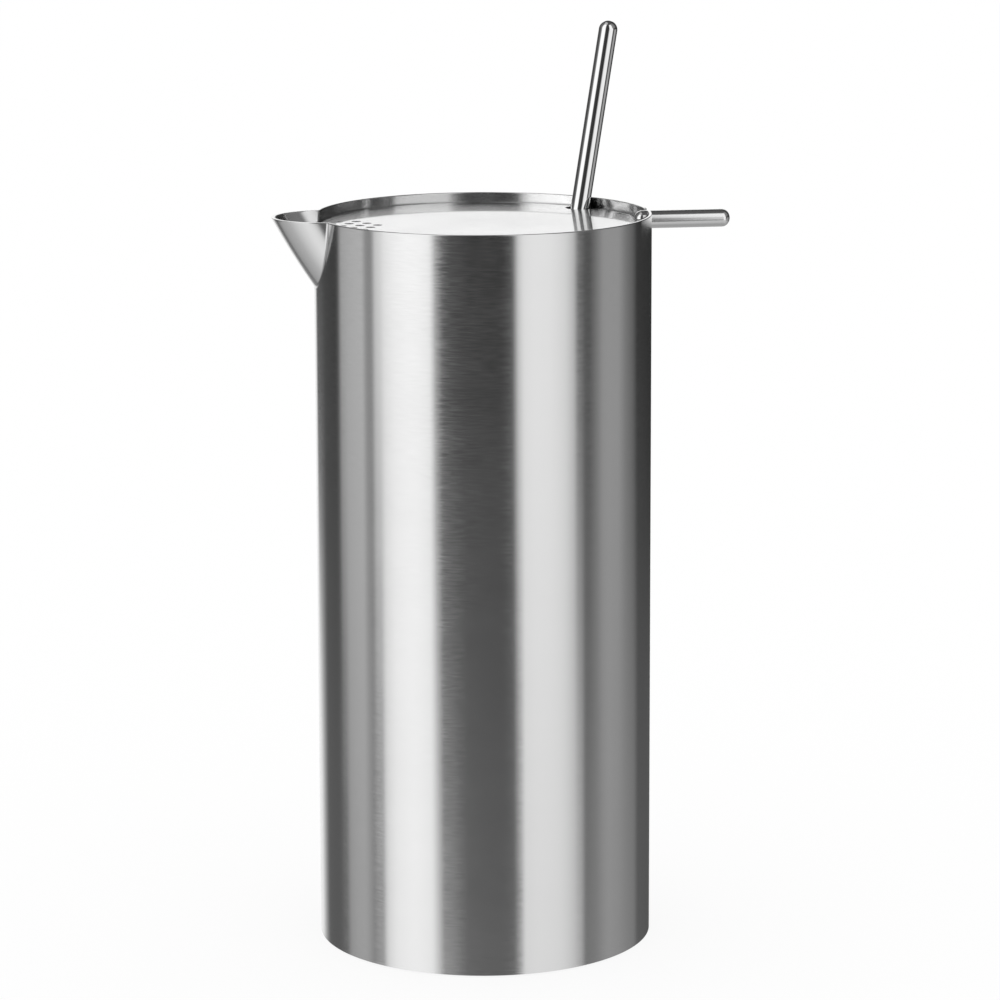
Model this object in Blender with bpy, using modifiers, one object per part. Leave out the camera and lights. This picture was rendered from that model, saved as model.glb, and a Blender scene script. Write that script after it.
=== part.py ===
# Cocktail mixing pitcher: a tall steel cylinder with a welded spout, a pressed strainer lid
# that sinks into the rim and is lifted by a rod, and a long spoon that stands in a notch of the lid.
# Metres, +Z up, origin at the centre of the base. The spout points to -X and the lid's rod to +X.

import math

import bmesh
import bpy
from mathutils import Matrix, Vector

# Fits and fineness
CLEARANCE = 0.0003
OVERRUN = 0.004
EDGE_BREAK = 0.00015
MERGE_DISTANCE = 0.00001
ROUND_STEPS = 160
ROD_STEPS = 32
BEND_STEPS = 4
SHARP_ANGLE = math.radians(32)

# Body
BODY_RADIUS = 0.056
BODY_HEIGHT = 0.245
WALL_THICKNESS = 0.001
BASE_THICKNESS = 0.0012

# Spout: a leaning half-tube of oval section, its generator slightly bellied
SPOUT_REACH = 0.0142
SPOUT_DEPTH = 0.0235
SPOUT_HALF_WIDTH = 0.0172
SPOUT_HALF_LENGTH = 0.0198
SPOUT_THICKNESS = 0.001
SPOUT_BELLY_SHARE = 0.14
SPOUT_END_SHARE = 1.28
SPOUT_RINGS = 10
SPOUT_STEPS = 72

# Lid, its top a little below the rim
LID_DROP = 0.0033
LID_THICKNESS = 0.001
LID_SKIRT_DEPTH = 0.022
LID_BEND_RADIUS = 0.002

# Strainer holes, in rows along the pouring direction
STRAINER_HOLE_RADIUS = 0.0015
STRAINER_PITCH = 0.0059
STRAINER_MARGIN = 0.00495
STRAINER_ROW_COUNTS = (2, 3, 3, 3, 2)
STRAINER_STEPS = 20

# Lifting rod of the lid, its axis measured down from the rim
HANDLE_RADIUS = 0.003
HANDLE_DROP = 0.00345
HANDLE_REACH = 0.0274
HANDLE_INNER_LENGTH = 0.0051
HANDLE_DOME = 0.0027
DOME_STEPS = 6

# Spoon
SPOON_RADIUS = 0.0032
SPOON_LENGTH = 0.312
SPOON_LEAN = math.radians(14)
SPOON_AZIMUTH = math.radians(40.5)
SPOON_NOTCH_RADIUS = 0.005
BOWL_LENGTH = 0.05
BOWL_HALF_WIDTH = 0.0125
BOWL_THICKNESS = 0.0012
BOWL_SAG = 0.005
BOWL_WIDEST_SHARE = 0.58
BOWL_NECK_SHARE = 0.34
BOWL_RINGS = 22
BOWL_STEPS = 20

# Places worked out from the sizes above
INNER_RADIUS = BODY_RADIUS - WALL_THICKNESS
HANDLE_HEIGHT = BODY_HEIGHT - HANDLE_DROP
LID_TOP = BODY_HEIGHT - LID_DROP
LID_RADIUS = INNER_RADIUS - CLEARANCE
SPOON_RIM_RADIUS = INNER_RADIUS - CLEARANCE - SPOON_RADIUS / math.cos(SPOON_LEAN)
SPOON_PIVOT_RADIUS = SPOON_RIM_RADIUS - (BODY_HEIGHT - LID_TOP) * math.tan(SPOON_LEAN)
SPOON_TIP_HEIGHT = BASE_THICKNESS + CLEARANCE + BOWL_THICKNESS / 2 * math.sin(SPOON_LEAN)
SPOON_BELOW = (LID_TOP - SPOON_TIP_HEIGHT) / math.cos(SPOON_LEAN)

STEEL_GREY = (0.58, 0.58, 0.58, 1.0)
BRIGHT_STEEL = (0.72, 0.72, 0.72, 1.0)


def clear_scene():
    for item in list(bpy.data.objects):
        bpy.data.objects.remove(item, do_unlink=True)


def new_collection(name):
    collection = bpy.data.collections.new(name)
    bpy.context.scene.collection.children.link(collection)
    return collection


clear_scene()
PARTS = new_collection("cocktail_mixing_pitcher")
CUTTERS = new_collection("cutters")


def steel(name, colour, roughness):
    material = bpy.data.materials.new(name)
    material.use_nodes = True
    shader = material.node_tree.nodes["Principled BSDF"]
    shader.inputs["Base Color"].default_value = colour
    shader.inputs["Metallic"].default_value = 1.0
    shader.inputs["Roughness"].default_value = roughness
    return material


def add_object(name, mesh, collection, parent=None):
    item = bpy.data.objects.new(name, mesh)
    collection.objects.link(item)
    item.parent = parent
    if collection is CUTTERS:
        item.hide_render = True
        item.display_type = "WIRE"
    return item


def add_empty(name, location, rotation, parent=None):
    empty = bpy.data.objects.new(name, None)
    PARTS.objects.link(empty)
    empty.parent = parent
    empty.location = location
    empty.rotation_euler = rotation
    return empty


def mesh_from(name, work):
    bmesh.ops.recalc_face_normals(work, faces=work.faces)
    mesh = bpy.data.meshes.new(name)
    work.to_mesh(mesh)
    work.free()
    return mesh


def arc(centre, radii, start, end, steps):
    """Points (radius, height) on an oval arc, with angles in degrees from the +X direction."""
    points = []
    for step in range(steps + 1):
        angle = math.radians(start + (end - start) * step / steps)
        points.append((centre[0] + radii[0] * math.cos(angle), centre[1] + radii[1] * math.sin(angle)))
    return points


def turned(name, outline, closed, steps, collection, parent=None):
    """A turned piece: the outline runs down its outer side, and turns round Z."""
    mesh = bpy.data.meshes.new(name)
    corners = [(radius, 0.0, height) for radius, height in outline]
    edges = [(index, index + 1) for index in range(len(corners) - 1)]
    if closed:
        edges.append((len(corners) - 1, 0))
    mesh.from_pydata(corners, edges, [])
    item = add_object(name, mesh, collection, parent)
    screw = item.modifiers.new("turn", "SCREW")
    screw.axis = "Z"
    screw.angle = math.tau
    screw.steps = steps
    screw.render_steps = steps
    screw.use_merge_vertices = True
    screw.merge_threshold = MERGE_DISTANCE
    screw.use_smooth_shade = True
    return item


def cylinder(name, radius, low, high, steps, collection, parent=None):
    """An upright cylinder between two heights."""
    work = bmesh.new()
    middle = Matrix.Translation((0.0, 0.0, (low + high) / 2))
    bmesh.ops.create_cone(work, cap_ends=True, segments=steps, radius1=radius, radius2=radius,
                          depth=high - low, matrix=middle)
    return add_object(name, mesh_from(name, work), collection, parent)


def block(name, low, high, collection, parent=None):
    """A box between two corners."""
    work = bmesh.new()
    size = Vector(high) - Vector(low)
    place = Matrix.Translation((Vector(low) + Vector(high)) / 2) @ Matrix.Diagonal(size).to_4x4()
    bmesh.ops.create_cube(work, size=1.0, matrix=place)
    return add_object(name, mesh_from(name, work), collection, parent)


def loft(name, rings, collection, parent=None, tip=None):
    """A closed skin over rings of points, ending in a flat face or in one tip point."""
    work = bmesh.new()
    rows = [[work.verts.new(point) for point in ring] for ring in rings]
    count = len(rows[0])
    for upper, lower in zip(rows, rows[1:]):
        for index in range(count):
            beside = (index + 1) % count
            work.faces.new((upper[index], upper[beside], lower[beside], lower[index]))
    work.faces.new(rows[0])
    if tip is None:
        work.faces.new(rows[-1])
    else:
        end = work.verts.new(tip)
        for index in range(count):
            work.faces.new((rows[-1][index], rows[-1][(index + 1) % count], end))
    return add_object(name, mesh_from(name, work), collection, parent)


def cut(item, cutter):
    boolean = item.modifiers.new("cut by " + cutter.name, "BOOLEAN")
    boolean.operation = "DIFFERENCE"
    boolean.solver = "EXACT"
    boolean.object = cutter


def settle(item, material):
    """Turn a piece with its modifiers into one shaded mesh."""
    bpy.context.view_layer.update()
    evaluated = item.evaluated_get(bpy.context.evaluated_depsgraph_get())
    mesh = bpy.data.meshes.new_from_object(evaluated)
    item.modifiers.clear()
    item.data = mesh
    mesh.materials.clear()
    mesh.materials.append(material)
    mesh.shade_smooth()
    mesh.set_sharp_from_angle(angle=SHARP_ANGLE)


def body_wall(mouth_cutter):
    outline = [
        (BODY_RADIUS - EDGE_BREAK, BODY_HEIGHT),
        (BODY_RADIUS, BODY_HEIGHT - EDGE_BREAK),
        (BODY_RADIUS, EDGE_BREAK),
        (BODY_RADIUS - EDGE_BREAK, 0.0),
        (INNER_RADIUS + EDGE_BREAK, 0.0),
        (INNER_RADIUS, EDGE_BREAK),
        (INNER_RADIUS, BODY_HEIGHT - EDGE_BREAK),
        (INNER_RADIUS + EDGE_BREAK, BODY_HEIGHT),
    ]
    wall = turned("body_wall", outline, True, ROUND_STEPS, PARTS)
    cut(wall, mouth_cutter)

    # The rod of the lid lies in a U-shaped notch
    notch_radius = HANDLE_RADIUS + CLEARANCE
    notch_start = INNER_RADIUS - OVERRUN
    notch_end = BODY_RADIUS + OVERRUN
    round_end = cylinder("rod_notch_round", notch_radius, notch_start, notch_end, ROD_STEPS, CUTTERS)
    round_end.location = (0.0, 0.0, HANDLE_HEIGHT)
    round_end.rotation_euler = (0.0, math.pi / 2, 0.0)
    open_top = block(
        "rod_notch_top",
        (notch_start, -notch_radius, HANDLE_HEIGHT),
        (notch_end, notch_radius, BODY_HEIGHT + OVERRUN),
        CUTTERS,
    )
    cut(wall, round_end)
    cut(wall, open_top)
    settle(wall, steel("wall_steel", STEEL_GREY, 0.28))


def base_disc():
    radius = INNER_RADIUS - CLEARANCE
    outline = [
        (0.0, BASE_THICKNESS),
        (radius - EDGE_BREAK, BASE_THICKNESS),
        (radius, BASE_THICKNESS - EDGE_BREAK),
        (radius, EDGE_BREAK),
        (radius - EDGE_BREAK, 0.0),
        (0.0, 0.0),
    ]
    base = turned("base_disc", outline, False, ROUND_STEPS, PARTS)
    settle(base, steel("base_steel", STEEL_GREY, 0.32))


def spout_rings(inset, top_share, end_share):
    """Level oval sections of the spout, from one share of its depth down to another.

    The inset is measured square to the sheet, which leans only along the pouring direction."""
    slant = math.hypot(SPOUT_REACH, SPOUT_DEPTH)
    half_length = SPOUT_HALF_LENGTH - inset * slant / SPOUT_DEPTH
    half_width = SPOUT_HALF_WIDTH - inset
    rings = []
    for ring in range(SPOUT_RINGS + 1):
        share = top_share + (end_share - top_share) * ring / SPOUT_RINGS
        drawn_in = share * (1.0 - SPOUT_BELLY_SHARE) + share * share * SPOUT_BELLY_SHARE
        front = BODY_RADIUS + SPOUT_REACH * (1.0 - drawn_in)
        centre = SPOUT_HALF_LENGTH - front
        height = BODY_HEIGHT - SPOUT_DEPTH * share
        points = []
        for step in range(SPOUT_STEPS):
            angle = math.tau * step / SPOUT_STEPS
            across = half_width * math.sin(angle)
            points.append((centre - half_length * math.cos(angle), across, height))
        rings.append(points)
    return rings


def pouring_spout(mouth_cutter):
    spout = loft("pouring_spout", spout_rings(0.0, 0.0, SPOUT_END_SHARE), PARTS)
    body_low = BODY_HEIGHT - SPOUT_DEPTH * SPOUT_END_SHARE - OVERRUN
    body_high = BODY_HEIGHT + OVERRUN
    body = cylinder("body_volume", BODY_RADIUS + CLEARANCE, body_low, body_high, ROUND_STEPS, CUTTERS)
    cut(spout, mouth_cutter)
    cut(spout, body)
    settle(spout, steel("spout_steel", STEEL_GREY, 0.25))


def spoon_notch(parent):
    """The lid's notch for the spoon: a round end at the pivot, open to the rim."""
    low = -LID_SKIRT_DEPTH - OVERRUN
    round_end = cylinder("spoon_notch_round", SPOON_NOTCH_RADIUS, low, OVERRUN, ROD_STEPS, CUTTERS, parent)
    round_end.location = (
        SPOON_PIVOT_RADIUS * math.cos(SPOON_AZIMUTH),
        SPOON_PIVOT_RADIUS * math.sin(SPOON_AZIMUTH),
        0.0,
    )
    open_side = block(
        "spoon_notch_side",
        (SPOON_PIVOT_RADIUS, -SPOON_NOTCH_RADIUS, low),
        (LID_RADIUS + OVERRUN, SPOON_NOTCH_RADIUS, OVERRUN),
        CUTTERS,
        parent,
    )
    open_side.rotation_euler = (0.0, 0.0, SPOON_AZIMUTH)
    return round_end, open_side


def strainer_holes(parent):
    """Staggered rows of holes beside the spout, as one cutter of separate pins."""
    work = bmesh.new()
    row_step = STRAINER_PITCH * math.sin(math.radians(60))
    middle_row = len(STRAINER_ROW_COUNTS) // 2
    for row, count in enumerate(STRAINER_ROW_COUNTS):
        shift = STRAINER_PITCH / 2 if (row - middle_row) % 2 == 0 else 0.0
        for index in range(count):
            reach = LID_RADIUS - STRAINER_MARGIN - shift - STRAINER_PITCH * index
            place = Matrix.Translation((-reach, (row - middle_row) * row_step, -LID_THICKNESS / 2))
            bmesh.ops.create_cone(
                work,
                cap_ends=True,
                segments=STRAINER_STEPS,
                radius1=STRAINER_HOLE_RADIUS,
                radius2=STRAINER_HOLE_RADIUS,
                depth=LID_THICKNESS + OVERRUN,
                matrix=place,
            )
    return add_object("strainer_pins", mesh_from("strainer_pins", work), CUTTERS, parent)


def lid_cap(parent):
    """The pressed lid: a flat top with its edge turned down into a skirt."""
    bend_centre = (LID_RADIUS - LID_BEND_RADIUS, -LID_BEND_RADIUS)
    inner_bend = LID_BEND_RADIUS - LID_THICKNESS
    outline = [(0.0, 0.0)]
    outline += arc(bend_centre, (LID_BEND_RADIUS, LID_BEND_RADIUS), 90, 0, BEND_STEPS)
    outline += [(LID_RADIUS, -LID_SKIRT_DEPTH), (LID_RADIUS - LID_THICKNESS, -LID_SKIRT_DEPTH)]
    outline += arc(bend_centre, (inner_bend, inner_bend), 0, 90, BEND_STEPS)
    outline += [(0.0, -LID_THICKNESS)]
    cap = turned("lid_cap", outline, False, ROUND_STEPS, PARTS, parent)
    for cutter in spoon_notch(parent):
        cut(cap, cutter)
    cut(cap, strainer_holes(parent))
    settle(cap, steel("lid_steel", BRIGHT_STEEL, 0.1))


def lid_handle(parent):
    """The lifting rod: round outside the wall, halved where it lies on the lid."""
    inner_end = BODY_RADIUS - HANDLE_INNER_LENGTH
    outer_end = BODY_RADIUS + HANDLE_REACH
    dome = (HANDLE_RADIUS, HANDLE_DOME)
    outline = arc((0.0, outer_end - HANDLE_DOME), dome, 90, 0, DOME_STEPS)
    outline += arc((0.0, inner_end + HANDLE_DOME), dome, 0, -90, DOME_STEPS)
    outline[0] = (0.0, outer_end)
    outline[-1] = (0.0, inner_end)
    rod = turned("lid_handle", outline, False, ROD_STEPS, PARTS, parent)
    rod.location = (0.0, 0.0, HANDLE_HEIGHT - LID_TOP)
    rod.rotation_euler = (0.0, math.pi / 2, 0.0)

    # Inside the wall the lower half is cut away, up to a shoulder that faces the skirt
    halving = block(
        "rod_halving",
        (inner_end - OVERRUN, -HANDLE_RADIUS - OVERRUN, -HANDLE_RADIUS - OVERRUN),
        (LID_RADIUS + CLEARANCE, HANDLE_RADIUS + OVERRUN, CLEARANCE),
        CUTTERS,
        parent,
    )
    cut(rod, halving)
    settle(rod, steel("handle_steel", BRIGHT_STEEL, 0.2))


def spoon_stem(parent):
    """The round stem, from its domed top down to the neck of the bowl."""
    top = SPOON_LENGTH - SPOON_BELOW
    bottom = BOWL_LENGTH + CLEARANCE - SPOON_BELOW
    dome = (SPOON_RADIUS, SPOON_RADIUS)
    outline = arc((0.0, top - SPOON_RADIUS), dome, 90, 0, DOME_STEPS)
    outline[0] = (0.0, top)
    outline += [(SPOON_RADIUS, bottom), (0.0, bottom)]
    stem = turned("spoon_stem", outline, False, ROD_STEPS, PARTS, parent)
    settle(stem, steel("stem_steel", BRIGHT_STEEL, 0.08))


def ease(share):
    """A smooth rise from 0 to 1 that starts and ends level."""
    bounded = min(max(share, 0.0), 1.0)
    return math.sin(bounded * math.pi / 2) ** 2


def spoon_bowl(parent):
    """The bowl: a round neck that flattens and widens into a dished oval blade."""
    rings = []
    for ring in range(BOWL_RINGS):
        share = math.sin(ring / BOWL_RINGS * math.pi / 2)
        past_widest = max(share - BOWL_WIDEST_SHARE, 0.0) / (1.0 - BOWL_WIDEST_SHARE)
        widening = ease(share / BOWL_WIDEST_SHARE)
        half_width = SPOON_RADIUS + (BOWL_HALF_WIDTH - SPOON_RADIUS) * widening
        half_width *= math.sqrt(1.0 - past_widest ** 2)
        flattening = ease(share / BOWL_NECK_SHARE)
        half_thickness = SPOON_RADIUS + (BOWL_THICKNESS / 2 - SPOON_RADIUS) * flattening
        sag = BOWL_SAG * widening * (1.0 - past_widest ** 2)
        height = BOWL_LENGTH * (1.0 - share) - SPOON_BELOW
        points = []
        for step in range(BOWL_STEPS):
            angle = math.tau * step / BOWL_STEPS
            dish = half_thickness * math.sin(angle) + sag * math.sin(angle) ** 2
            points.append((dish, half_width * math.cos(angle), height))
        rings.append(points)
    bowl = loft("spoon_bowl", rings, PARTS, parent, tip=(0.0, 0.0, -SPOON_BELOW))
    settle(bowl, steel("bowl_steel", BRIGHT_STEEL, 0.12))


def build():
    mouth = loft("spout_mouth", spout_rings(SPOUT_THICKNESS, -OVERRUN / SPOUT_DEPTH, SPOUT_END_SHARE),
                 CUTTERS)
    body_wall(mouth)
    base_disc()
    pouring_spout(mouth)

    lid_seat = add_empty("lid_seat", (0.0, 0.0, LID_TOP), (0.0, 0.0, 0.0))
    lid_cap(lid_seat)
    lid_handle(lid_seat)

    pivot = (
        SPOON_PIVOT_RADIUS * math.cos(SPOON_AZIMUTH),
        SPOON_PIVOT_RADIUS * math.sin(SPOON_AZIMUTH),
        0.0,
    )
    spoon_pivot = add_empty("spoon_pivot", pivot, (0.0, SPOON_LEAN, SPOON_AZIMUTH), lid_seat)
    spoon_stem(spoon_pivot)
    spoon_bowl(spoon_pivot)


build()
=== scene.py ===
import math

import bmesh
import bpy
from mathutils import Matrix, Vector


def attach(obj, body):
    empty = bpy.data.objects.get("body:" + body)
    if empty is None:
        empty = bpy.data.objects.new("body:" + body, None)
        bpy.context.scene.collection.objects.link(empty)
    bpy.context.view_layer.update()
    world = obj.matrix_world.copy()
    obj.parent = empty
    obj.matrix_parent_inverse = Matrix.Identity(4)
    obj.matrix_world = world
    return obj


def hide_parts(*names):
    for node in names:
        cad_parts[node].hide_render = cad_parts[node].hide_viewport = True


# A steel mixing pitcher: a brushed wall with a welded spout, a polished strainer lid that its rod
# lifts, and a long spoon. The sizes and names of bodies and nodes are the part's.

# Sizes in metres and radians: the part's own, and small roundings that only the scene has
BODY_RADIUS = 0.056
BODY_HEIGHT = 0.245
WALL_THICKNESS = 0.001
INNER_RADIUS = BODY_RADIUS - WALL_THICKNESS
GAP = 0.0003
RIM_ROUNDING = 0.0004

SPOUT_REACH = 0.0142
SPOUT_DEPTH = 0.0235
SPOUT_HALF_WIDTH = 0.0172
SPOUT_HALF_LENGTH = 0.0198
SPOUT_THICKNESS = 0.001
SPOUT_BELLY_SHARE = 0.14
SPOUT_END_SHARE = 1.28
SPOUT_EDGE_ROUNDING = 0.0001
FILLET_REACH = 0.0008
MOUTH_ROUNDING = 0.0007
MOUTH_TURN = math.radians(75)

LID_TOP = 0.2417
LID_RADIUS = INNER_RADIUS - GAP
LID_THICKNESS = 0.001
LID_SKIRT_DEPTH = 0.022
LID_BEND_RADIUS = 0.002
HOLE_RADIUS = 0.0015
HOLE_FLARE = 0.00012
HOLE_PITCH = 0.0059
HOLE_MARGIN = 0.00495
HOLE_STAGGER = math.radians(60)
HOLE_ROWS = (2, 3, 3, 3, 2)

HANDLE_RADIUS = 0.003
HANDLE_HEIGHT = BODY_HEIGHT - 0.00345
HANDLE_START = BODY_RADIUS - 0.0051
HANDLE_END = BODY_RADIUS + 0.0274
HANDLE_DOME = 0.0027

SPOON_RADIUS = 0.0032
SPOON_LENGTH = 0.312
SPOON_LEAN = math.radians(14)
SPOON_AZIMUTH = math.radians(40.5)
SPOON_PIVOT_RADIUS = 0.050579
SPOON_BELOW = 0.247404
SPOON_NOTCH_RADIUS = 0.005
BOWL_LENGTH = 0.05
BOWL_HALF_WIDTH = 0.0125
BOWL_THICKNESS = 0.0012
BOWL_SAG = 0.005
BOWL_WIDEST_SHARE = 0.58
BOWL_NECK_SHARE = 0.34

# How far a cutter reaches past what it cuts
OVERRUN = 0.004

# Fineness of the meshes, as steps along or round each form
WALL_STEPS = 384
ROD_STEPS = 96
DOME_STEPS = 16
STEM_DOME_STEPS = 20
SPOUT_COLUMNS = 120
SPOUT_ROWS = 24
LIP_ROWS = 4
FILLET_COLUMNS = 96
FILLET_STEPS = 8
EDGE_STEPS = 6
LID_BEND_STEPS = 12
LID_INNER_BEND_STEPS = 8
HOLE_STEPS = 48
FLARE_STEPS = 5
BOWL_RINGS = 72
BOWL_STEPS = 48
# Halvings of a search, and how far to each side of a point its slope is measured
HALVINGS = 40
SLOPE_PROBE = 0.001

# Corners sharper than this stay sharp; points nearer than this are one point
SHARP = math.radians(30)
MERGE_DISTANCE = 0.000001
SLIVER = MERGE_DISTANCE / 10

# How near a point lies to a true surface, and how alike the directions are, where its normal
# is that surface's own
NEAR_ROUND = 0.00002
NEAR_BEND = 0.00001
NEAR_LID = 0.000002
ALIKE = 0.99
ALIKE_ON_BEND = 0.98

# Camera: its place in metres, its turns in radians, its lens and sensor in millimetres, and its
# shift as a share of the picture
CAMERA_PLACE = (-0.19326, -1.29310, 0.41365)
CAMERA_HEADING = math.radians(8.7435)
CAMERA_PITCH = math.radians(10.549)
CAMERA_ROLL = math.radians(0.159)
CAMERA_LENS = 143.20
CAMERA_SENSOR = 36.0
CAMERA_SHIFT = -0.065
# Where the camera is, seen from the object, in degrees from +X. The studio's directions are
# counted from there, positive to the camera's right.
CAMERA_AZIMUTH = -98.5

# Soft boxes and dark screens round the object at eight heights: (degrees, brightness)
UNDER_RING = (
    (-180, 0.5), (-168, 0.42), (-156, 0.33), (-144, 0.3), (-139, 0.15), (-133, 0.4), (-117, 0.5),
    (-93, 0.6), (-67, 0.85), (-43, 1.05), (-22, 1.0), (-10, 0.8), (0, 0.65), (17, 0.64), (60, 0.64),
    (100, 0.5), (140, 0.4), (180, 0.5),
)
LOWER_RING = (
    (-180, 0.6), (-165, 0.5), (-157, 0.33), (-146, 0.3), (-139, 0.13), (-109, 0.12), (-104, 0.38),
    (-83, 0.3), (-75, 0.25), (-72, 0.9), (-43, 1.1), (-30, 0.95), (-22, 0.7), (-17, 0.3),
    (-12, 0.02), (10, 0.02), (22, 0.04), (27, 0.9), (60, 0.8), (71, 0.6), (75, 0.3), (100, 0.36),
    (140, 0.3), (172, 0.3), (180, 0.6),
)
LOW_RING = (
    (-180, 1.0), (-157, 1.0), (-146, 0.4), (-140, 0.14), (-112, 0.14), (-107, 0.42), (-88, 0.47),
    (-83, 0.28), (-75, 0.22), (-72, 0.85), (-63, 1.2), (-50, 1.28), (-36, 1.14), (-32, 0.8),
    (-28, 0.18), (-18, 0.17), (-4, 0.17), (20, 0.15), (25, 0.2), (28, 0.95), (38, 1.02),
    (53, 1.0), (64, 0.82), (71, 0.66), (74, 0.24), (84, 0.26), (96, 0.38), (112, 0.32),
    (128, 0.26), (134, 0.13), (171, 0.1), (175, 1.0),
)
MIDDLE_RING = (
    (-180, 1.0), (-163, 1.0), (-156, 0.1), (-121, 0.05), (-117, 0.08), (-112, 0.57), (-90, 0.68),
    (-86, 0.35), (-81, 0.33), (-78, 0.85), (-70, 1.04), (-54, 1.19), (-44, 1.19), (-36, 1.06),
    (-32, 0.12), (-28, 0.02), (13, 0.01), (20, 0.1), (24, 1.05), (34, 1.14),
    (46, 1.1), (57, 0.92), (64, 0.56), (67, 0.07), (77, 0.07), (89, 0.42), (105, 0.42),
    (114, 0.24), (122, 0.15), (129, 0.04), (172, 0.03), (176, 1.0),
)
HIGH_RING = (
    (-180, 1.15), (-164, 1.15), (-155, 0.3), (-145, 0.1), (-132, 0.05), (-120, 0.1), (-108, 0.06),
    (-97, 0.19), (-92, 0.2), (-89, 0.05), (-81, 0.04), (-77, 1.65), (-60, 2.05), (-36, 1.9),
    (-29, 1.1), (-25, 0.2), (-21, 0.03), (17, 0.03), (21, 0.3), (25, 1.0), (58, 1.1), (64, 0.9),
    (68, 0.07), (88, 0.07), (92, 0.12), (97, 0.07), (110, 0.03), (148, 0.02), (160, 0.1),
    (166, 1.15), (180, 1.15),
)
UPPER_RING = (
    (-180, 1.15), (-164, 1.15), (-155, 0.3), (-145, 0.06), (-120, 0.15), (-90, 0.2), (-84, 0.5),
    (-78, 1.25), (-36, 1.25), (-27, 0.06), (11, 0.03), (18, 0.6), (22, 1.15), (50, 1.15),
    (60, 0.3), (106, 0.2), (120, 0.04), (160, 0.1), (166, 1.15), (180, 1.15),
)
TOP_RING = (
    (-180, 0.06), (-150, 0.06), (-120, 0.15), (-90, 0.2), (-84, 0.5), (-78, 1.25), (-36, 1.25),
    (-27, 0.06), (11, 0.03), (18, 0.6), (22, 1.15), (50, 1.15), (60, 0.3), (106, 0.2),
    (120, 0.04), (180, 0.06),
)
ZENITH_RING = ((-180, 0.09), (-165, 0.09), (-140, 0.6), (-40, 0.6), (-12, 0.09), (180, 0.09))

# Each ring above the lowest, with the degrees of height between which it takes over
HIGHER_RINGS = (
    (LOWER_RING, -31.0, -25.0), (LOW_RING, -24.0, -19.0), (MIDDLE_RING, -15.0, -10.0),
    (HIGH_RING, -3.0, 4.0), (UPPER_RING, 11.0, 18.0), (TOP_RING, 26.0, 34.0),
    (ZENITH_RING, 56.0, 66.0),
)
# What metal sees straight below it, and the degrees of height up to which this fades
NADIR_BRIGHTNESS = 0.42
NADIR_FADE = (-75.0, -45.0)

FLOOR_HALF = 12.0
FLOOR_DROP = 0.0004
FLOOR_GLOW_SHARE = 0.85

# Lines of brushed steel, in noise cells per radian along them and per metre across them, and
# what they do to its colour and roughness
FINE_LINES = (11.0, 2200.0)
BROAD_LINES = (1.6, 60.0)
FINE_TINT = (0.98, 1.01)
BROAD_ROUGHNESS = 0.01
# Smears and scratches of polished steel, in noise cells per metre, and the shares by which they
# change its roughness
SMEARS = 35.0
SCRATCHES = 900.0
SMEAR_SHARE = 0.12
SCRATCH_SHARE = 0.1
# The share by which the colour of both strays, and where most values of a noise lie
COLOUR_STRAY = 0.03
NOISE_RANGE = (0.3, 0.7)
# How squarely a face of the wall looks out or in before its highlights are stretched
SQUARE_FACING = (0.93, 0.99)


def nodes_of(owner):
    """The nodes and links of a material or a world."""
    owner.use_nodes = True
    return owner.node_tree.nodes, owner.node_tree.links


def feed(links, socket, value):
    """Link a socket to another one, or set a plain value on it."""
    if isinstance(value, bpy.types.NodeSocket):
        links.new(value, socket)
    else:
        socket.default_value = value


def maths(nodes, links, operation, *inputs):
    """One Math node; an input is a socket or a number."""
    node = nodes.new("ShaderNodeMath")
    node.operation = operation
    for socket, value in zip(node.inputs, inputs):
        feed(links, socket, value)
    return node.outputs[0]


def vector_of(nodes, links, *inputs):
    """A vector from three inputs, each a socket or a number."""
    node = nodes.new("ShaderNodeCombineXYZ")
    for socket, value in zip(node.inputs, inputs):
        feed(links, socket, value)
    return node.outputs[0]


def vector_maths(nodes, links, operation, *inputs):
    """One Vector Math node; an input is a socket or three numbers."""
    node = nodes.new("ShaderNodeVectorMath")
    node.operation = operation
    for socket, value in zip(node.inputs, inputs):
        feed(links, socket, value)
    return node


def coordinates(nodes, links, kind):
    """The three parts of one kind of texture coordinates."""
    source = nodes.new("ShaderNodeTexCoord")
    parts = nodes.new("ShaderNodeSeparateXYZ")
    links.new(source.outputs[kind], parts.inputs[0])
    return parts.outputs


def mapped(nodes, links, value, source, target, interpolation):
    """A value from the range source laid out over the range target."""
    node = nodes.new("ShaderNodeMapRange")
    node.interpolation_type = interpolation
    node.inputs["From Min"].default_value, node.inputs["From Max"].default_value = source
    node.inputs["To Min"].default_value, node.inputs["To Max"].default_value = target
    links.new(value, node.inputs["Value"])
    return node.outputs["Result"]


def eased(nodes, links, value, low, high):
    """0 below low and 1 above high, with a smooth rise between them."""
    return mapped(nodes, links, value, (low, high), (0.0, 1.0), "SMOOTHSTEP")


def spread(nodes, links, value, low, high):
    """Noise laid out from low to high."""
    return mapped(nodes, links, value, NOISE_RANGE, (low, high), "LINEAR")


def noise(nodes, links, vector, detail, roughness=0.5, scale=1.0):
    """Noise at a place, mostly within NOISE_RANGE."""
    node = nodes.new("ShaderNodeTexNoise")
    node.inputs["Scale"].default_value = scale
    node.inputs["Detail"].default_value = detail
    node.inputs["Roughness"].default_value = roughness
    links.new(vector, node.inputs["Vector"])
    return node.outputs["Fac"]


def blended(nodes, links, share, first, second):
    """A mix of two colours, each a socket or a grey level."""
    mix = nodes.new("ShaderNodeMix")
    mix.data_type = "RGBA"
    links.new(share, mix.inputs["Factor"])
    for name, value in (("A", first), ("B", second)):
        is_socket = isinstance(value, bpy.types.NodeSocket)
        feed(links, mix.inputs[name], value if is_socket else (value, value, value, 1.0))
    return mix.outputs["Result"]


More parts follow.
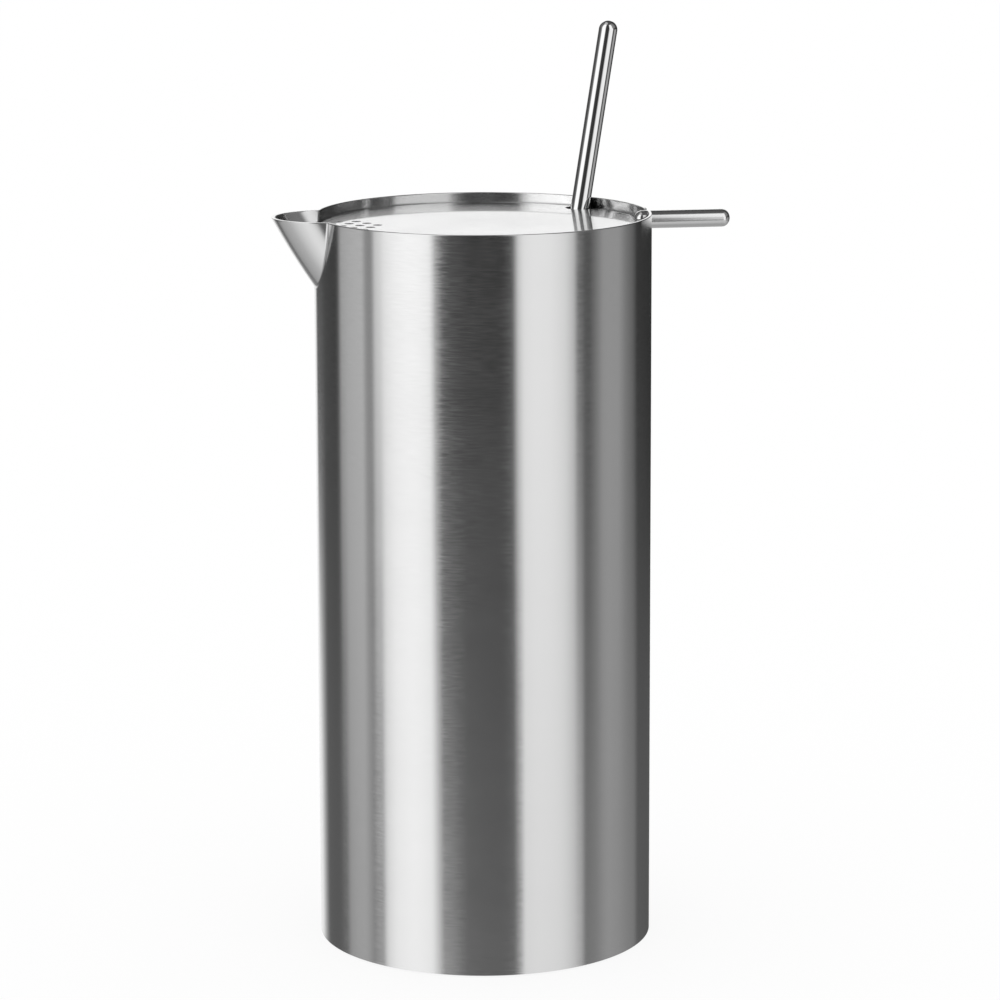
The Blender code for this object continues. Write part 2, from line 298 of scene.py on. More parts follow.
def studio_ring(nodes, links, turn, points):
    """The brightness round one height of the studio, the camera's direction in the middle."""
    ramp = nodes.new("ShaderNodeValToRGB")
    stops = ramp.color_ramp.elements
    while len(stops) > 1:
        stops.remove(stops[-1])
    for index, (direction, brightness) in enumerate(points):
        share = 0.5 + direction / 360.0
        stop = stops[0] if index == 0 else stops.new(share)
        stop.position = share
        stop.color = (brightness, brightness, brightness, 1.0)
    links.new(turn, ramp.inputs["Fac"])
    return ramp.outputs["Color"]


def studio():
    """White surroundings that metal sees as soft boxes with dark screens between them."""
    world = bpy.data.worlds.new("studio")
    bpy.context.scene.world = world
    nodes, links = nodes_of(world)
    nodes.clear()
    x, y, z = coordinates(nodes, links, "Generated")
    rise = maths(nodes, links, "MULTIPLY", maths(nodes, links, "ARCSINE", z), math.degrees(1.0))
    turn = maths(nodes, links, "DIVIDE", maths(nodes, links, "ARCTAN2", y, x), math.tau)
    turn = maths(nodes, links, "ADD", turn, 0.5 - CAMERA_AZIMUTH / 360.0)
    turn = maths(nodes, links, "FRACT", turn)
    around = studio_ring(nodes, links, turn, UNDER_RING)
    for ring, low, high in HIGHER_RINGS:
        around = blended(nodes, links, eased(nodes, links, rise, low, high), around,
                         studio_ring(nodes, links, turn, ring))
    above_nadir = eased(nodes, links, rise, *NADIR_FADE)
    around = blended(nodes, links, above_nadir, NADIR_BRIGHTNESS, around)

    white = nodes.new("ShaderNodeBackground")
    white.inputs["Color"].default_value = (1.0, 1.0, 1.0, 1.0)
    boxes = nodes.new("ShaderNodeBackground")
    links.new(around, boxes.inputs["Color"])
    rays = nodes.new("ShaderNodeLightPath")
    choice = nodes.new("ShaderNodeMixShader")
    links.new(rays.outputs["Is Glossy Ray"], choice.inputs[0])
    links.new(white.outputs[0], choice.inputs[1])
    links.new(boxes.outputs[0], choice.inputs[2])
    output = nodes.new("ShaderNodeOutputWorld")
    links.new(choice.outputs[0], output.inputs["Surface"])


def floor():
    """A white floor that keeps the object's soft shadow."""
    mesh = bpy.data.meshes.new("floor")
    corners = [(x * FLOOR_HALF, y * FLOOR_HALF, 0.0)
               for x, y in ((-1, -1), (1, -1), (1, 1), (-1, 1))]
    mesh.from_pydata(corners, [], [(0, 1, 2, 3)])
    plane = bpy.data.objects.new("floor", mesh)
    bpy.context.scene.collection.objects.link(plane)
    plane.location = (0.0, 0.0, -FLOOR_DROP)
    plane.visible_glossy = False
    material = bpy.data.materials.new("floor_white")
    nodes, links = nodes_of(material)
    shader = nodes["Principled BSDF"]
    shader.inputs["Base Color"].default_value = (1.0, 1.0, 1.0, 1.0)
    shader.inputs["Roughness"].default_value = 0.9
    shader.inputs["Specular IOR Level"].default_value = 0.0
    glow = nodes.new("ShaderNodeEmission")
    rays = nodes.new("ShaderNodeLightPath")
    share = maths(nodes, links, "MULTIPLY", rays.outputs["Is Camera Ray"], FLOOR_GLOW_SHARE)
    mix = nodes.new("ShaderNodeMixShader")
    links.new(share, mix.inputs[0])
    links.new(shader.outputs[0], mix.inputs[1])
    links.new(glow.outputs[0], mix.inputs[2])
    links.new(mix.outputs[0], nodes["Material Output"].inputs["Surface"])
    mesh.materials.append(material)


def steel(name):
    """A metal material with its nodes, links and shader."""
    material = bpy.data.materials.new(name)
    nodes, links = nodes_of(material)
    shader = nodes["Principled BSDF"]
    shader.inputs["Metallic"].default_value = 1.0
    return material, nodes, links, shader


def add_bump(nodes, links, shader, height, grain_height):
    """Let a noise stand up from the surface by a grain's height."""
    bump = nodes.new("ShaderNodeBump")
    bump.inputs["Distance"].default_value = grain_height
    links.new(height, bump.inputs["Height"])
    links.new(bump.outputs[0], shader.inputs["Normal"])


def add_tangent(nodes, links, shader, axis):
    """Let the tangent, along which highlights are stretched, run round an axis."""
    tangent = nodes.new("ShaderNodeTangent")
    tangent.direction_type = "RADIAL"
    tangent.axis = axis
    links.new(tangent.outputs[0], shader.inputs["Tangent"])


def line_noise(nodes, links, angle, across, cells, detail, roughness=0.5):
    """Noise drawn out into lines; cells are per radian along them and per metre across them."""
    along = maths(nodes, links, "MULTIPLY", angle, cells[0])
    across = maths(nodes, links, "MULTIPLY", across, cells[1])
    return noise(nodes, links, vector_of(nodes, links, along, 0.0, across), detail, roughness)


def square_facing(nodes, links, angle):
    """1 where a face looks squarely away from the upright axis or towards it, 0 at edges."""
    cosine, sine = (maths(nodes, links, operation, angle) for operation in ("COSINE", "SINE"))
    radial = vector_of(nodes, links, cosine, sine, 0.0)
    normal = nodes.new("ShaderNodeNewGeometry").outputs["Normal"]
    facing = vector_maths(nodes, links, "DOT_PRODUCT", normal, radial).outputs["Value"]
    return eased(nodes, links, maths(nodes, links, "ABSOLUTE", facing), *SQUARE_FACING)


def brushed_steel(name, colour, roughness, unevenness, grain_height, anisotropy, lines):
    """Steel with fine lines: ROUND ones about the upright axis, or SPUN rings on a flat disc."""
    material, nodes, links, shader = steel(name)
    x, y, height = coordinates(nodes, links, "Object")
    angle = maths(nodes, links, "ARCTAN2", y, x)
    if lines == "ROUND":
        across = height
    else:
        squares = [maths(nodes, links, "MULTIPLY", side, side) for side in (x, y)]
        across = maths(nodes, links, "SQRT", maths(nodes, links, "ADD", *squares))
    fine = line_noise(nodes, links, angle, across, FINE_LINES, detail=2.0, roughness=0.6)
    broad = line_noise(nodes, links, angle, across, BROAD_LINES, detail=4.0)
    shade = blended(nodes, links, broad, colour * (1 - COLOUR_STRAY), colour * (1 + COLOUR_STRAY))
    tinted = vector_maths(nodes, links, "SCALE", shade)
    links.new(spread(nodes, links, fine, *FINE_TINT), tinted.inputs["Scale"])
    links.new(tinted.outputs["Vector"], shader.inputs["Base Color"])
    rough = maths(nodes, links, "ADD", spread(nodes, links, fine, -unevenness, unevenness),
                  spread(nodes, links, broad, roughness - BROAD_ROUGHNESS,
                         roughness + BROAD_ROUGHNESS))
    links.new(rough, shader.inputs["Roughness"])
    if lines == "ROUND":
        anisotropy = maths(nodes, links, "MULTIPLY", square_facing(nodes, links, angle), anisotropy)
    feed(links, shader.inputs["Anisotropic"], anisotropy)
    add_tangent(nodes, links, shader, "Z")
    # A quarter turn stretches the highlights across the lines
    shader.inputs["Anisotropic Rotation"].default_value = 0.25
    add_bump(nodes, links, shader, fine, grain_height)
    return material


def polished_steel(name, colour, roughness, grain_height, stretch=(1.0, 1.0, 1.0)):
    """Steel polished nearly to a mirror, with faint smears and fine scratches.

    The scratches are drawn out along an axis whose stretch is under 1.
    """
    material, nodes, links, shader = steel(name)
    place = nodes.new("ShaderNodeTexCoord").outputs["Object"]
    smear = noise(nodes, links, place, detail=4.0, scale=SMEARS)
    drawn = vector_maths(nodes, links, "MULTIPLY", place, stretch).outputs["Vector"]
    scratch = noise(nodes, links, drawn, detail=3.0, scale=SCRATCHES)
    shade = blended(nodes, links, smear, colour * (1 - COLOUR_STRAY), colour * (1 + COLOUR_STRAY))
    links.new(shade, shader.inputs["Base Color"])
    by_smear, by_scratch = roughness * SMEAR_SHARE, roughness * SCRATCH_SHARE
    rough = maths(nodes, links, "ADD",
                  spread(nodes, links, smear, roughness - by_smear, roughness + by_smear),
                  spread(nodes, links, scratch, -by_scratch, by_scratch))
    links.new(rough, shader.inputs["Roughness"])
    add_bump(nodes, links, shader, scratch, grain_height)
    return material


def hazed_steel(name, colour, roughness, haze, grain_height, anisotropy):
    """Sheet brushed along the X axis and then polished, so that it mirrors through a haze.

    roughness is that of the mirror, haze that of the brushed sheet under it.
    """
    material = polished_steel(name, colour, haze, grain_height)
    nodes, links = nodes_of(material)
    shader = nodes["Principled BSDF"]
    shader.inputs["Anisotropic"].default_value = anisotropy
    add_tangent(nodes, links, shader, "X")
    shader.inputs["Coat Weight"].default_value = 1.0
    shader.inputs["Coat Roughness"].default_value = roughness
    shader.inputs["Coat IOR"].default_value = 1.5
    return material


def item_of(name, work):
    """An object of its own from mesh work, with its faces turned outwards."""
    bmesh.ops.recalc_face_normals(work, faces=work.faces)
    mesh = bpy.data.meshes.new(name)
    work.to_mesh(mesh)
    work.free()
    item = bpy.data.objects.new(name, mesh)
    bpy.context.scene.collection.objects.link(item)
    return item


def mend(work):
    """Make one point of points that fall together, and do away with edges of no length."""
    bmesh.ops.remove_doubles(work, verts=work.verts, dist=MERGE_DISTANCE)
    bmesh.ops.dissolve_degenerate(work, edges=work.edges, dist=SLIVER)


def skin_over(work, rings):
    """Join closed rings of points by faces, and return the rings' vertices."""
    rows = [[work.verts.new(point) for point in ring] for ring in rings]
    count = len(rows[0])
    for upper, lower in zip(rows, rows[1:]):
        for index in range(count):
            beside = (index + 1) % count
            work.faces.new((upper[index], upper[beside], lower[beside], lower[index]))
    return rows


def lofted(name, rings):
    """A skin over closed rings of points, with a face over each end."""
    work = bmesh.new()
    rows = skin_over(work, rings)
    work.faces.new(rows[0])
    work.faces.new(rows[-1])
    mend(work)
    return item_of(name, work)


def turned(name, outline, steps):
    """A piece turned round Z from (radius, height) points, whose ends lie on the axis or join."""
    work = bmesh.new()
    rings = []
    for radius, height in outline:
        if radius == 0.0:
            rings.append([work.verts.new((0.0, 0.0, height))] * steps)
            continue
        rings.append([
            work.verts.new((radius * math.cos(math.tau * step / steps),
                            radius * math.sin(math.tau * step / steps), height))
            for step in range(steps)
        ])
    pairs = list(zip(rings, rings[1:]))
    if outline[0][0] != 0.0:
        pairs.append((rings[-1], rings[0]))
    for upper, lower in pairs:
        for step in range(steps):
            beside = (step + 1) % steps
            face = []
            for corner in (upper[step], upper[beside], lower[beside], lower[step]):
                if corner not in face:
                    face.append(corner)
            work.faces.new(face)
    return item_of(name, work)


def arc(centre, radii, start, end, steps):
    """Points (radius, height) on an oval arc, with angles in degrees from the +X direction."""
    points = []
    for step in range(steps + 1):
        angle = math.radians(start + (end - start) * step / steps)
        points.append((centre[0] + radii[0] * math.cos(angle),
                       centre[1] + radii[1] * math.sin(angle)))
    return points


def block(name, low, high, place=Matrix.Identity(4)):
    """A box between two corners, put at a place."""
    work = bmesh.new()
    size = Vector(high) - Vector(low)
    middle = Matrix.Translation((Vector(low) + Vector(high)) / 2)
    bmesh.ops.create_cube(work, size=1.0, matrix=place @ middle @ Matrix.Diagonal(size).to_4x4())
    return item_of(name, work)


def cylinder(name, radius, low, high, place):
    """A cylinder from low to high along Z, put at a place."""
    work = bmesh.new()
    middle = Matrix.Translation((0.0, 0.0, (low + high) / 2))
    bmesh.ops.create_cone(work, cap_ends=True, segments=ROD_STEPS, radius1=radius, radius2=radius,
                          depth=high - low, matrix=place @ middle)
    return item_of(name, work)


def cut(item, *cutters):
    """Cut the piece, and do away with the cutters."""
    for cutter in cutters:
        boolean = item.modifiers.new("cut", "BOOLEAN")
        boolean.operation = "DIFFERENCE"
        boolean.solver = "EXACT"
        boolean.object = cutter
    bpy.context.view_layer.update()
    whole = item.evaluated_get(bpy.context.evaluated_depsgraph_get())
    mesh = bpy.data.meshes.new_from_object(whole)
    work = bmesh.new()
    work.from_mesh(mesh)
    mend(work)
    work.to_mesh(mesh)
    work.free()
    item.modifiers.clear()
    item.data = mesh
    for cutter in cutters:
        bpy.data.objects.remove(cutter, do_unlink=True)


def smooth(item, true_normal=None):
    """Shade a piece smoothly, with its sharp corners kept.

    true_normal(point, face normal) gives the normals that curved faces have on their own.
    """
    mesh = item.data
    mesh.shade_smooth()
    mesh.set_sharp_from_angle(angle=SHARP)
    if true_normal is None:
        return
    normals = [Vector(corner.vector) for corner in mesh.corner_normals]
    for face in mesh.polygons:
        for loop in face.loop_indices:
            exact = true_normal(mesh.vertices[mesh.loops[loop].vertex_index].co, face.normal)
            if exact is not None:
                normals[loop] = exact
    mesh.normals_split_custom_set(normals)


def spout_point(angle, inset, share):
    """A point of the spout's oval section at a share of its depth.

    The sheet's inner skin is inset, square to the spout's slope.
    """
    slant = math.hypot(SPOUT_REACH, SPOUT_DEPTH)
    half_length = SPOUT_HALF_LENGTH - inset * slant / SPOUT_DEPTH
    half_width = SPOUT_HALF_WIDTH - inset
    drawn_in = share * (1.0 - SPOUT_BELLY_SHARE) + share * share * SPOUT_BELLY_SHARE
    centre = SPOUT_HALF_LENGTH - BODY_RADIUS - SPOUT_REACH * (1.0 - drawn_in)
    return Vector((centre - half_length * math.cos(angle), half_width * math.sin(angle),
                   BODY_HEIGHT - SPOUT_DEPTH * share))


def last_outside(place, radius):
    """The largest share from 0 to 1 whose place still lies outside a radius."""
    low, high = 0.0, 1.0
    for _ in range(HALVINGS):
        middle = (low + high) / 2
        point = place(middle)
        if math.hypot(point.x, point.y) > radius:
            low = middle
        else:
            high = middle
    return low


def spout_widest(inset, share, radius=BODY_RADIUS):
    """The angle at which the oval meets the wall, at one height."""
    return math.pi / 2 * last_outside(
        lambda part: spout_point(part * math.pi / 2, inset, share), radius)


def spout_lowest(angle, inset, start, radius=BODY_RADIUS):
    """The share of the depth at which one line down the spout meets the wall."""
    reach = SPOUT_END_SHARE - start
    return start + reach * last_outside(
        lambda part: spout_point(angle, inset, start + reach * part), radius)


def spout_lip():
    """The section of the lip from outside to inside, as (inset, drop below the rim)."""
    turns = [math.pi / 2 * row / LIP_ROWS for row in range(LIP_ROWS + 1)]
    outside = [(SPOUT_EDGE_ROUNDING * (1.0 - math.cos(turn)),
                SPOUT_EDGE_ROUNDING * (1.0 - math.sin(turn))) for turn in turns]
    return outside + [(SPOUT_THICKNESS - inset, drop) for inset, drop in reversed(outside)]


def spout_skin(across, inset):
    """A line down one skin of the spout, from under the lip to the wall."""
    start = SPOUT_EDGE_ROUNDING / SPOUT_DEPTH
    angle = across * spout_widest(inset, start)
    lowest = spout_lowest(angle, inset, start)
    return [spout_point(angle, inset, start + (lowest - start) * row / SPOUT_ROWS)
            for row in range(1, SPOUT_ROWS + 1)]


def spout_columns(columns):
    """Places across the spout from -1 to 1, closest at the ends."""
    return [math.sin(math.pi / 2 * (2.0 * column / columns - 1.0)) for column in range(columns + 1)]


def spout_piece():
    """The spout's sheet, with a rounded lip, ending where it meets the wall."""
    lip_section = spout_lip()
    lines = []
    for across in spout_columns(SPOUT_COLUMNS):
        lip = []
        for inset, drop in lip_section:
            share = drop / SPOUT_DEPTH
            lip.append(spout_point(across * spout_widest(inset, share), inset, share))
        outside = spout_skin(across, 0.0)
        lines.append(outside[::-1] + lip + spout_skin(across, SPOUT_THICKNESS))
    spout = lofted("spout_skin", lines)
    smooth(spout)
    return spout


def seam_fillet():
    """A hollow fillet of solder along the seam between the spout and the wall."""
    start = SPOUT_EDGE_ROUNDING / SPOUT_DEPTH
    widest = spout_widest(0.0, start)
    seam = []
    for across in spout_columns(FILLET_COLUMNS):
        angle = across * widest
        seam.append((angle, spout_lowest(angle, 0.0, start)))
    places = [spout_point(angle, 0.0, share) for angle, share in seam]
    rings = []
    for index, (angle, share) in enumerate(seam):
        here = places[index]
        along = (places[min(index + 1, len(seam) - 1)] - places[max(index - 1, 0)]).normalized()
        down = (spout_point(angle, 0.0, share + SLOPE_PROBE)
                - spout_point(angle, 0.0, share - SLOPE_PROBE))
        sideways = (spout_point(angle + SLOPE_PROBE, 0.0, share)
                    - spout_point(angle - SLOPE_PROBE, 0.0, share))
        spout_out = sideways.cross(down).normalized()
        wall_out = Vector((here.x, here.y, 0.0)).normalized()
        on_wall = here + wall_out.cross(along).normalized() * FILLET_REACH
        on_wall_round = Vector((on_wall.x, on_wall.y, 0.0)).normalized() * BODY_RADIUS
        first = Vector((on_wall_round.x, on_wall_round.y,
                        min(on_wall.z, BODY_HEIGHT - RIM_ROUNDING)))
        last = here + along.cross(spout_out).normalized() * FILLET_REACH
        last.z = min(last.z, BODY_HEIGHT - SPOUT_EDGE_ROUNDING)
        ring = []
        for step in range(FILLET_STEPS + 1):
            mix = step / FILLET_STEPS
            ring.append(first * (1 - mix) ** 2 + here * 2 * mix * (1 - mix) + last * mix ** 2)
        ring.append(here - (wall_out + spout_out) * GAP / 2)
        rings.append(ring)
    fillet = lofted("spout_fillet", rings)
    smooth(fillet)
    return fillet


def mouth_cutter():
    """The mouth that the spout's inside leaves in the wall, with its inner edge rounded over."""
    levels = [(BODY_RADIUS + OVERRUN * 1.5, 0.0), (BODY_RADIUS, 0.0)]
    for step in range(EDGE_STEPS + 1):
        angle = MOUTH_TURN * step / EDGE_STEPS
        levels.append((INNER_RADIUS + MOUTH_ROUNDING * (1.0 - math.sin(angle)),
                       MOUTH_ROUNDING * (1.0 - math.cos(angle))))
    last_radius, last_flare = levels[-1]
    innermost = INNER_RADIUS - GAP
    levels.append((innermost, last_flare + (last_radius - innermost) * math.tan(MOUTH_TURN)))
    start = -OVERRUN / SPOUT_DEPTH
    rings = []
    for radius, flare in levels:
        inset = SPOUT_THICKNESS - flare
        widest = spout_widest(inset, start, radius)
        rings.append([
            spout_point(across * widest, inset,
                        spout_lowest(across * widest, inset, start, radius))
            for across in spout_columns(SPOUT_COLUMNS)
        ])
    return lofted("mouth_space", rings)


def round_about_z(outer, inner):
    """The true normals of the two round skins of a turned wall."""
    def true_normal(point, face_normal):
        radial = Vector((point.x, point.y, 0.0))
        radius = radial.length
        radial.normalize()
        facing = face_normal.dot(radial)
        if abs(radius - outer) < NEAR_ROUND and facing > ALIKE:
            return radial
        if abs(radius - inner) < NEAR_ROUND and facing < -ALIKE:
            return -radial
        return None
    return true_normal


def wall_piece():
    """The wall with its rounded rim, the mouth behind the spout and the rod's notch."""
    rounding = (RIM_ROUNDING, RIM_ROUNDING)
    crest = BODY_HEIGHT - RIM_ROUNDING
    outline = arc((BODY_RADIUS - RIM_ROUNDING, crest), rounding, 90, 0, EDGE_STEPS)
    outline += [(BODY_RADIUS, 0.0), (INNER_RADIUS, 0.0)]
    outline += arc((INNER_RADIUS + RIM_ROUNDING, crest), rounding, 180, 90, EDGE_STEPS)
    wall = turned("wall_skin", outline, WALL_STEPS)
    start, end = INNER_RADIUS - OVERRUN, BODY_RADIUS + OVERRUN
    radius = HANDLE_RADIUS + GAP
    notch_round = cylinder("notch_round", radius, start, end, handle_place())
    notch_top = block("notch_top", (start, -radius, HANDLE_HEIGHT),
                      (end, radius, BODY_HEIGHT + OVERRUN))
    cut(wall, mouth_cutter(), notch_round, notch_top)
    smooth(wall, round_about_z(BODY_RADIUS, INNER_RADIUS))
    return wall


def strainer_pins():
    """Pins with flared heads, one for each strainer hole."""
    work = bmesh.new()
    row_step = HOLE_PITCH * math.sin(HOLE_STAGGER)
    middle_row = len(HOLE_ROWS) // 2
    outline = [(HOLE_RADIUS + HOLE_FLARE * 2, HOLE_FLARE)]
    outline += arc((HOLE_RADIUS + HOLE_FLARE, -HOLE_FLARE), (HOLE_FLARE, HOLE_FLARE), 90, 180,
                   FLARE_STEPS)
    outline += [(HOLE_RADIUS, -LID_THICKNESS * 2)]
    for row, count in enumerate(HOLE_ROWS):
        shift = HOLE_PITCH / 2 if (row - middle_row) % 2 == 0 else 0.0
        for index in range(count):
            reach = LID_RADIUS - HOLE_MARGIN - shift - HOLE_PITCH * index
            centre = Vector((-reach, (row - middle_row) * row_step, LID_TOP))
            rows = skin_over(work, [
                [centre + Vector((radius * math.cos(math.tau * step / HOLE_STEPS),
                                  radius * math.sin(math.tau * step / HOLE_STEPS), height))
                 for step in range(HOLE_STEPS)]
                for radius, height in outline
            ])
            work.faces.new(rows[0])
            work.faces.new(rows[-1])
    return item_of("strainer_pins", work)


def lid_piece():
    """The lid with its skirt, strainer holes and the open notch for the spoon."""
    bend_centre = (LID_RADIUS - LID_BEND_RADIUS, LID_TOP - LID_BEND_RADIUS)
    inner_bend = LID_BEND_RADIUS - LID_THICKNESS
    low = LID_TOP - LID_SKIRT_DEPTH
    outline = [(0.0, LID_TOP)]
    outline += arc(bend_centre, (LID_BEND_RADIUS, LID_BEND_RADIUS), 90, 0, LID_BEND_STEPS)
    outline += [(LID_RADIUS, low), (LID_RADIUS - LID_THICKNESS, low)]
    outline += arc(bend_centre, (inner_bend, inner_bend), 0, 90, LID_INNER_BEND_STEPS)
    outline += [(0.0, LID_TOP - LID_THICKNESS)]
    lid = turned("lid_skin", outline, WALL_STEPS)
    turn = Matrix.Rotation(SPOON_AZIMUTH, 4, "Z")
    round_end = cylinder("notch_end", SPOON_NOTCH_RADIUS, low - OVERRUN, LID_TOP + OVERRUN,
                         turn @ Matrix.Translation((SPOON_PIVOT_RADIUS, 0.0, 0.0)))
    open_side = block("notch_side", (SPOON_PIVOT_RADIUS, -SPOON_NOTCH_RADIUS, low - OVERRUN),
                      (LID_RADIUS + OVERRUN, SPOON_NOTCH_RADIUS, LID_TOP + OVERRUN), turn)
    cut(lid, round_end, open_side, strainer_pins())

    def true_normal(point, face_normal):
        if abs(point.z - LID_TOP) < NEAR_LID and face_normal.z > ALIKE:
            return Vector((0.0, 0.0, 1.0))
        radial = Vector((point.x, point.y, 0.0))
        direction = radial.normalized()
        along = Vector((radial.length - bend_centre[0], point.z - bend_centre[1]))
        if min(along) > -NEAR_LID and abs(along.length - LID_BEND_RADIUS) < NEAR_BEND:
            exact = direction * along.x + Vector((0.0, 0.0, along.y))
            exact.normalize()
            return exact if exact.dot(face_normal) > ALIKE_ON_BEND else None
        if abs(radial.length - LID_RADIUS) < NEAR_LID and face_normal.dot(direction) > ALIKE:
            return direction
        return None

    smooth(lid, true_normal)
    return lid


def handle_place():
    """Where the rod lies: its own Z axis points along the part's X axis."""
    return Matrix.Translation((0.0, 0.0, HANDLE_HEIGHT)) @ Matrix.Rotation(math.pi / 2, 4, "Y")


def handle_piece():
    """The rod with domed ends, halved where it lies on the lid."""
    dome = (HANDLE_RADIUS, HANDLE_DOME)
    straight_start, straight_end = HANDLE_START + HANDLE_DOME, HANDLE_END - HANDLE_DOME
    outline = arc((0.0, straight_end), dome, 90, 0, DOME_STEPS)
    outline += arc((0.0, straight_start), dome, 0, -90, DOME_STEPS)
    outline[0] = (0.0, HANDLE_END)
    outline[-1] = (0.0, HANDLE_START)
    rod = turned("handle_skin", outline, ROD_STEPS)
    rod.data.transform(handle_place())
    half_width = HANDLE_RADIUS + OVERRUN
    halving = block("rod_halving",
                    (HANDLE_START - OVERRUN, -half_width, LID_TOP - OVERRUN * 2),
                    (LID_RADIUS + GAP, half_width, LID_TOP + GAP))
    cut(rod, halving)

    def true_normal(point, face_normal):
        off = Vector((0.0, point.y, point.z - HANDLE_HEIGHT))
        on_round = abs(off.length - HANDLE_RADIUS) < NEAR_ROUND
        off.normalize()
        if straight_start < point.x < straight_end and on_round and off.dot(face_normal) > ALIKE:
            return off
        return None

    smooth(rod, true_normal)
    return rod


def spoon_place():
    """Where the spoon stands: its own Z axis runs up the stem through the lid's notch."""
    turn = Matrix.Rotation(SPOON_AZIMUTH, 4, "Z")
    return (Matrix.Translation((0.0, 0.0, LID_TOP)) @ turn
            @ Matrix.Translation((SPOON_PIVOT_RADIUS, 0.0, 0.0))
            @ Matrix.Rotation(SPOON_LEAN, 4, "Y"))


def stem_piece():
    """The spoon's stem, a rod with a domed top."""
    top = SPOON_LENGTH - SPOON_BELOW
    bottom = BOWL_LENGTH + GAP - SPOON_BELOW
    outline = arc((0.0, top - SPOON_RADIUS), (SPOON_RADIUS, SPOON_RADIUS), 90, 0, STEM_DOME_STEPS)
    outline[0] = (0.0, top)
    outline += [(SPOON_RADIUS, bottom), (0.0, bottom)]
    stem = turned("stem_skin", outline, ROD_STEPS)
    smooth(stem)
    stem.matrix_world = spoon_place()
    return stem


def ease(share):
    """A smooth rise from 0 to 1 that starts and ends level."""
    bounded = min(max(share, 0.0), 1.0)
    return math.sin(bounded * math.pi / 2) ** 2


def bowl_ring(share):
    """The section of the spoon's bowl at a share of its length, from the neck to the tip."""
    past_widest = max(share - BOWL_WIDEST_SHARE, 0.0) / (1.0 - BOWL_WIDEST_SHARE)
    widening = ease(share / BOWL_WIDEST_SHARE)
    half_width = SPOON_RADIUS + (BOWL_HALF_WIDTH - SPOON_RADIUS) * widening
    half_width *= math.sqrt(1.0 - past_widest ** 2)
    flattening = ease(share / BOWL_NECK_SHARE)
    half_thickness = SPOON_RADIUS + (BOWL_THICKNESS / 2 - SPOON_RADIUS) * flattening
    sag = BOWL_SAG * widening * (1.0 - past_widest ** 2)
    height = BOWL_LENGTH * (1.0 - share) - SPOON_BELOW
    ring = []
    for step in range(BOWL_STEPS):
        angle = math.tau * step / BOWL_STEPS
        dish = half_thickness * math.sin(angle) + sag * math.sin(angle) ** 2
        ring.append((dish, half_width * math.cos(angle), height))
    return ring


def bowl_piece():
    """The bowl: a round neck that flattens and widens into a dished oval blade."""
    work = bmesh.new()
    rows = skin_over(work, [bowl_ring(math.sin(ring / BOWL_RINGS * math.pi / 2))
                            for ring in range(BOWL_RINGS)])
    work.faces.new(rows[0])
    tip = work.verts.new((0.0, 0.0, -SPOON_BELOW))
    for step in range(BOWL_STEPS):
        work.faces.new((rows[-1][step], rows[-1][(step + 1) % BOWL_STEPS], tip))
    bowl = item_of("bowl_skin", work)
    smooth(bowl)
    bowl.matrix_world = spoon_place()
    return bowl


def fit(piece, body, slot, material, *nodes):
    """Dress a piece, let it ride with its body, and let it stand for its CAD nodes."""
    piece.data.materials.clear()
    piece.data.materials.append(material)
    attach(piece, body)
    if nodes:
        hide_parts(*nodes)


def dress(node, material):
    """Give a CAD node that shows as it is a better material."""
    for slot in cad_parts[node].material_slots:
        slot.material = material


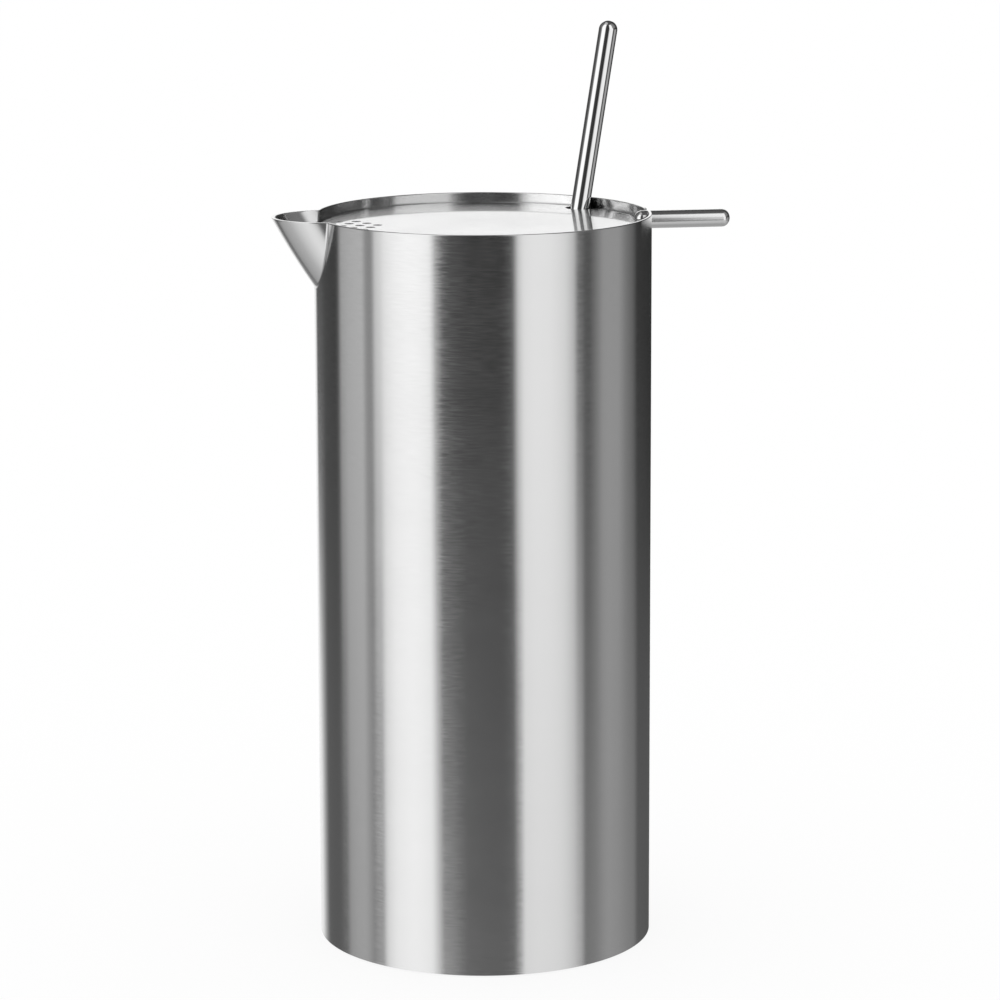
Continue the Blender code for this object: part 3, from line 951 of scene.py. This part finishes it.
def camera():
    """The camera, in its true place towards the object."""
    data = bpy.data.cameras.new("camera")
    data.lens = CAMERA_LENS
    data.sensor_width = CAMERA_SENSOR
    data.shift_y = CAMERA_SHIFT
    item = bpy.data.objects.new("camera", data)
    bpy.context.scene.collection.objects.link(item)
    forward = Vector((
        math.sin(CAMERA_HEADING) * math.cos(CAMERA_PITCH),
        math.cos(CAMERA_HEADING) * math.cos(CAMERA_PITCH),
        -math.sin(CAMERA_PITCH),
    ))
    level = Vector((math.cos(CAMERA_HEADING), -math.sin(CAMERA_HEADING), 0.0))
    down = forward.cross(level)
    right = level * math.cos(CAMERA_ROLL) + down * math.sin(CAMERA_ROLL)
    up = level * math.sin(CAMERA_ROLL) - down * math.cos(CAMERA_ROLL)
    turn = Matrix((right, up, -forward)).transposed().to_4x4()
    item.matrix_world = Matrix.Translation(CAMERA_PLACE) @ turn
    bpy.context.scene.camera = item


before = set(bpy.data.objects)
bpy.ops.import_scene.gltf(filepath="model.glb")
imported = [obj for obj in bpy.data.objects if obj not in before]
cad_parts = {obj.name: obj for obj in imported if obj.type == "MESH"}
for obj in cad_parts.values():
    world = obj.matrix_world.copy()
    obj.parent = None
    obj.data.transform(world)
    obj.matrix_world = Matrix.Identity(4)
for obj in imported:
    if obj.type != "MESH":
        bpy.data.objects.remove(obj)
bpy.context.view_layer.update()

studio()
floor()
camera()

wall_steel = brushed_steel("wall_brushed", colour=0.70, roughness=0.16, unevenness=0.028,
                           grain_height=0.000002, anisotropy=0.97, lines="ROUND")
base_steel = brushed_steel("base_brushed", colour=0.66, roughness=0.26, unevenness=0.03,
                           grain_height=0.000002, anisotropy=0.6, lines="SPUN")
spout_steel = polished_steel("spout_satin", colour=0.68, roughness=0.16, grain_height=0.000001)
lid_steel = hazed_steel("lid_polished", colour=0.62, roughness=0.05, haze=0.21,
                        grain_height=0.0000003, anisotropy=0.97)
handle_steel = polished_steel("handle_satin", colour=0.76, roughness=0.17,
                              grain_height=0.0000003, stretch=(0.03, 1.0, 1.0))
stem_steel = polished_steel("stem_polished", colour=0.80, roughness=0.04, grain_height=0.0000003)
bowl_steel = polished_steel("bowl_polished", colour=0.80, roughness=0.08, grain_height=0.0000005)

dress("base_disc", base_steel)
fit(wall_piece(), "pitcher", "wall_steel", wall_steel, "body_wall")
fit(spout_piece(), "pitcher", "spout_steel", spout_steel, "pouring_spout")
fit(seam_fillet(), "pitcher", "spout_steel", spout_steel)
fit(lid_piece(), "lid", "lid_steel", lid_steel, "lid_cap")
fit(handle_piece(), "lid", "handle_steel", handle_steel, "lid_handle")
fit(stem_piece(), "spoon", "stem_steel", stem_steel, "spoon_stem")
fit(bowl_piece(), "spoon", "bowl_steel", bowl_steel, "spoon_bowl")

bpy.context.scene.view_settings.view_transform = "Standard"
